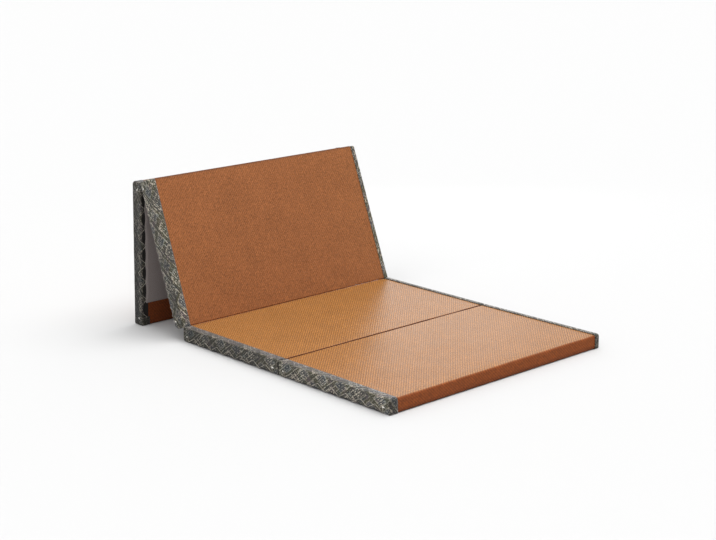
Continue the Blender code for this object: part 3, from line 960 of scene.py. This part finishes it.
# a knot: two small loops round the end of the thread, and a short tail
def knotLine(side, y, outward, top):
    values, knot, count = threadValues, threadValues["knot"], threadValues["knotSteps"]
    points = []
    for step in range(count + 1):
        angle = 4 * math.pi * step / count
        place = threadPoint(side, 0.0, y + outward * knot * (values["knotStart"] + step / count), top)
        place.z += values["knotHeight"] * knot * math.sin(angle)
        place.x += side * values["knotWidth"] * knot * (1 - math.cos(angle))
        points.append(place)
    tail = threadPoint(side, 0.0, y + outward * knot * values["tail"], top)
    tail.z -= values["tailDrop"]
    return points + [tail]


def makeLacing(panel, side, sideName):
    values, top = threadValues, panel["stitchTop"]
    route, first, last = threadRoute(panel, side)
    curve = bpy.data.curves.new("threadLine", "CURVE")
    curve.dimensions = "3D"
    curve.bevel_depth = values["radius"]
    curve.bevel_resolution = 2
    curve.use_fill_caps = True
    for points in (route, knotLine(side, first, -1, top), knotLine(side, last, 1, top)):
        spline = curve.splines.new("POLY")
        spline.points.add(len(points) - 1)
        for point, place in zip(spline.points, points):
            point.co = (*place, 1.0)
    line = newObject("threadLine", curve)
    bpy.context.view_layer.update()
    mesh = bpy.data.meshes.new_from_object(line.evaluated_get(bpy.context.evaluated_depsgraph_get()))
    bpy.data.objects.remove(line)
    shape = bmesh.new()
    shape.from_mesh(mesh)
    bpy.data.meshes.remove(mesh)
    bmesh.ops.remove_doubles(shape, verts=shape.verts, dist=1e-6)
    turnOutward(shape)
    shade, pale = (shape.verts.layers.float.new(label) for label in ("shade", "pale"))
    for vert in shape.verts:
        vert[shade] = panel["shade"]
        vert[pale] = 0.0 if first - values["paleFrom"] < vert.co.y < last + values["paleFrom"] else 1.0
    settle(shape, panel)
    piece = finishPiece(f"thread_{panel['name']}_{sideName}", shape, threadCloth)
    dressSolid(piece, f"lacing_{panel['name']}_{sideName}")
    return piece


lacings = [makeLacing(panel, side, sideName) for panel in panels for side, sideName in sides]
print("lacings ready", len(lacings[0].data.polygons))


# hinge cloths: the one at the top rises between the pads and sags toward its ends
hingeValues = {
    "thickness": 0.0012, "leg": 0.022, "propLeg": 0.033, "bend": 0.002, "bendSteps": 5, "across": 60,
    "ridge": 0.004, "topLift": 0.0010, "topSag": 0.0024, "sag": (0.27, 0.43),
    "paintedShade": {"front_seat": 1.0, "seat_back": 1.0, "back_prop": 0.45},
}


# where two lines in a plane across the mat meet
def crossPoint(start, toward, otherStart, otherToward):
    first, second = (toward - start).normalized(), (otherToward - otherStart).normalized()
    between = otherStart - start
    reach = (between.y * second.z - between.z * second.y) / (first.y * second.z - first.z * second.y)
    return start + reach * first


def hingeLines():
    front, seat, back, prop = (frames[panel["name"]] for panel in panels)
    half = hingeValues["thickness"] / 2
    off, floor = mat["cloth"] - half, gap + half
    end, leg = length - off, hingeValues["leg"]

    def at(frame, y, z):
        return frame @ Vector((0, y, z))

    frontSeat = [at(front, end, leg), at(front, end, floor), at(seat, off, floor), at(seat, off, leg)]
    seatEnd, backEnd = at(seat, end, thick - leg), at(back, off, thick - leg)
    fold = crossPoint(seatEnd, at(seat, end, thick), backEnd, at(back, off, thick))
    upper, lower = at(back, end, leg), at(prop, off, hingeValues["propLeg"])
    ridge = crossPoint(upper, at(back, end, 0), lower, at(prop, off, 0))
    return {"front_seat": frontSeat, "seat_back": [seatEnd, fold, backEnd], "back_prop": [upper, ridge, lower]}


def makeHinge(name, line):
    values, across = hingeValues, hingeValues["across"]
    shape = bmesh.new()
    joined = [panel for panel in panels if panel["name"] in name]
    left, right = (halfWidth - max(panel["strips"][side] for panel in joined) - gap for side in (0, 1))
    ends = [shape.verts.new(point - Vector((left, 0, 0))) for point in line]
    for pair in zip(ends, ends[1:]):
        shape.edges.new(pair)
    if name != "front_seat":
        bmesh.ops.bevel(shape, geom=ends[1:-1], offset=values["bend"], segments=values["bendSteps"], profile=0.5,
                        affect="VERTICES", material=-1)
    bmesh.ops.spin(shape, geom=shape.verts[:] + shape.edges[:], angle=0, steps=across, cent=(0, 0, 0),
                   axis=(1, 0, 0), dvec=((left + right) / across, 0, 0), use_merge=False)
    turnOutward(shape)
    paintedShade = shape.verts.layers.float.new("paintedShade")
    top = max(vert.co.z for vert in shape.verts)
    for vert in shape.verts:
        # painted shade: how far each hinge cloth takes the brown of reed in shade
        vert[paintedShade] = values["paintedShade"][name]
        if name == "back_prop" and vert.co.z > top - values["ridge"]:
            vert.co.z += values["topLift"] - values["topSag"] * smoothStep(*values["sag"], abs(vert.co.x))
    writeMap(shape, lambda co, normal: (co.x, co.y + co.z))
    piece = finishPiece("hingeCloth_" + name, shape, hingeCloth)
    wallThickness(piece, values["thickness"], 0.0)
    dressSolid(piece, "hinge_" + name)
    span = sum((after - before).length for before, after in zip(line, line[1:]))
    return piece


hinges = [makeHinge(name, line) for name, line in hingeLines().items()]
print("hinge cloths ready")


# studio: bright and dim are the surround's light on its two sides; the screen lays a soft sheen over the seat
studio = {
    "floorSize": 60.0, "floorTone": 0.62, "dim": 0.30, "bright": 1.06, "backdrop": 0.97,
    "brightToward": (0.60, 0.75, 0.28), "brightFrom": (-0.1, 0.85),
    "keyToward": (0.30, -0.22, 0.93), "keyStrength": 2.3, "keySpread": 55.0,
    "fillToward": (-0.55, -0.35, 0.75), "fillStrength": 1.3, "fillSpread": 80.0,
    "screenPlace": (1.80, 1.50, 0.80), "screenFacing": (0.15, -0.15, 0.05), "screenSize": (0.95, 0.50),
    "screenWatts": 1.2,
}


def makeFloor():
    shape = bmesh.new()
    bmesh.ops.create_grid(shape, x_segments=1, y_segments=1, size=studio["floorSize"])
    material, _, shader = newMaterial("paleFloor", 0.9, 0.1)
    shader.inputs["Base Color"].default_value = (*[studio["floorTone"]] * 3, 1)
    finishPiece("floor", shape, material)


def makeSurround():
    world = bpy.data.worlds.new("studio")
    world.use_nodes = True
    nodes = world.node_tree.nodes
    toward = addNode("ShaderNodeVectorMath", nodes.new("ShaderNodeTexCoord").outputs["Generated"],
                     Vector(studio["brightToward"]).normalized(), operation="DOT_PRODUCT").outputs["Value"]
    surround = ranged(toward, *studio["brightFrom"], studio["dim"], studio["bright"])
    seen = nodes.new("ShaderNodeLightPath").outputs["Is Camera Ray"]
    background = nodes["Background"]
    background.inputs["Color"].default_value = (1, 1, 1, 1)
    linkTo(background.inputs["Strength"], addNode("ShaderNodeMix", seen, None, surround, studio["backdrop"]).outputs[0])
    bpy.context.scene.world = world


def makeLamp(name, kind, strength, toward):
    light = bpy.data.lights.new(name, kind)
    light.energy = strength
    lamp = newObject(name, light)
    lamp.rotation_euler = toward.to_track_quat("Z", "Y").to_euler()
    return lamp, light


def makeLamps():
    for name in ("key", "fill"):
        lamp, light = makeLamp(name, "SUN", studio[name + "Strength"], Vector(studio[name + "Toward"]))
        light.angle = math.radians(studio[name + "Spread"])
        lamp.visible_glossy = name == "key"
    place = Vector(studio["screenPlace"])
    lamp, light = makeLamp("screen", "AREA", studio["screenWatts"], place - Vector(studio["screenFacing"]))
    light.shape = "RECTANGLE"
    light.size, light.size_y = studio["screenSize"]
    lamp.location = place
    lamp.visible_camera = False


# camera: worked out from the corners of the panels in a picture 716 x 540
cameraValues = {
    "place": (-3.0852, -3.5404, 1.4245), "azimuth": 41.11, "elevation": 14.36, "roll": -1.10,
    "focalPixels": 1488.0, "pictureWidth": 716, "sensor": 36.0, "farthest": 200.0,
}


def makeCamera():
    values = cameraValues
    turn = Matrix()
    for degrees, axis in ((-values["azimuth"], "Z"), (90 - values["elevation"], "X"), (values["roll"], "Z")):
        turn = turn @ Matrix.Rotation(math.radians(degrees), 4, axis)
    data = bpy.data.cameras.new("camera")
    data.sensor_width = values["sensor"]
    data.lens = values["focalPixels"] * values["sensor"] / values["pictureWidth"]
    data.clip_end = values["farthest"]
    camera = newObject("camera", data)
    camera.matrix_world = Matrix.Translation(values["place"]) @ turn
    bpy.context.scene.camera = camera


makeFloor()
makeSurround()
makeLamps()
makeCamera()
bpy.context.scene.view_settings.view_transform = "Standard"
print("studio ready")
